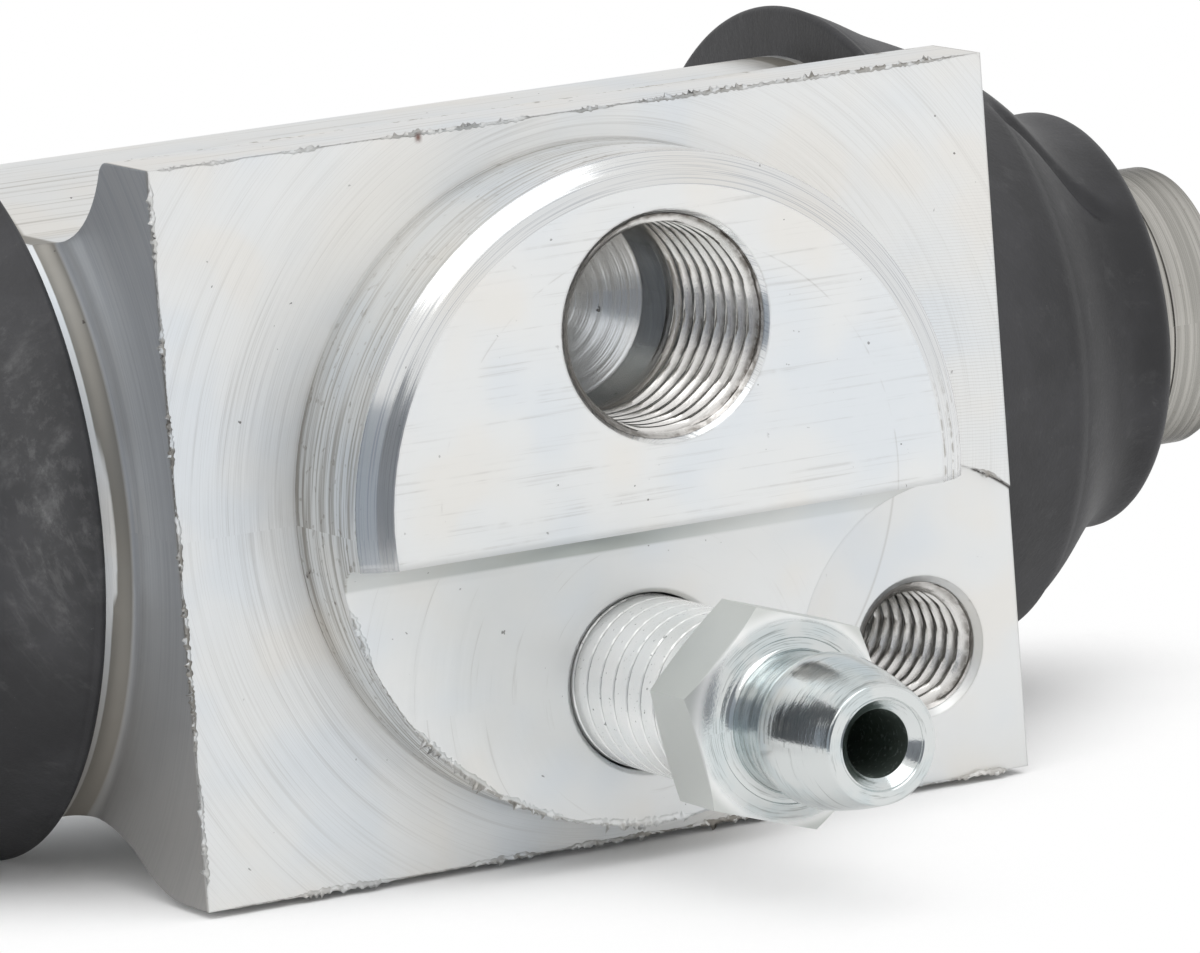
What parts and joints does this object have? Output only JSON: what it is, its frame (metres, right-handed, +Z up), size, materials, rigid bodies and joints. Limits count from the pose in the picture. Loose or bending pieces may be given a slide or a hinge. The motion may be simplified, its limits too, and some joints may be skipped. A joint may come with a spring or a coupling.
{
  "type": "wheel cylinder",
  "caption": "Drum brake wheel cylinder: plate-backed barrel with opposed pistons under rubber boots, half-moon spigot, pipe port, fixing hole and bleed screw.",
  "frame": {"origin": "centre of the round spigot, on the flat mounting face", "axes": "+X along the bore to the right as seen facing the spigot, -Y out of the mounting face, +Z up past the pipe port"},
  "size_m": [0.0838, 0.0631, 0.0337],
  "materials": {
    "body_metal": "machined",
    "piston_metal": "satin turned",
    "seal_rubber": "matte",
    "spring_steel": "plain",
    "boot_rubber": "matte",
    "plated_steel": "bright plated"
  },
  "bodies": {
    "cylinder": {"cylinder_body": "body_metal", "left_boot": "boot_rubber", "right_boot": "boot_rubber", "return_spring": "spring_steel"},
    "left_piston": {"left_piston": "piston_metal", "left_cup_seal": "seal_rubber", "left_cup_expander": "spring_steel"},
    "right_piston": {"right_piston": "piston_metal", "right_cup_seal": "seal_rubber", "right_cup_expander": "spring_steel"},
    "bleed_screw": {"bleed_screw": "plated_steel"}
  },
  "joints": [
    {"name": "left_piston_slide", "type": "slide", "parent": "cylinder", "child": "left_piston", "axis": [-1, 0, 0], "range_m": [-0.002, 0.005], "deforming": ["left_boot", "return_spring"]},
    {"name": "right_piston_slide", "type": "slide", "parent": "cylinder", "child": "right_piston", "axis": [1, 0, 0], "range_m": [-0.002, 0.005], "deforming": ["right_boot", "return_spring"]},
    {"name": "bleed_screw_turn", "type": "hinge", "parent": "cylinder", "child": "bleed_screw", "pos_m": [-0.0002, -0.0039, -0.0088], "axis": [0, -1, 0], "range_deg": [0, 360]}
  ]
}
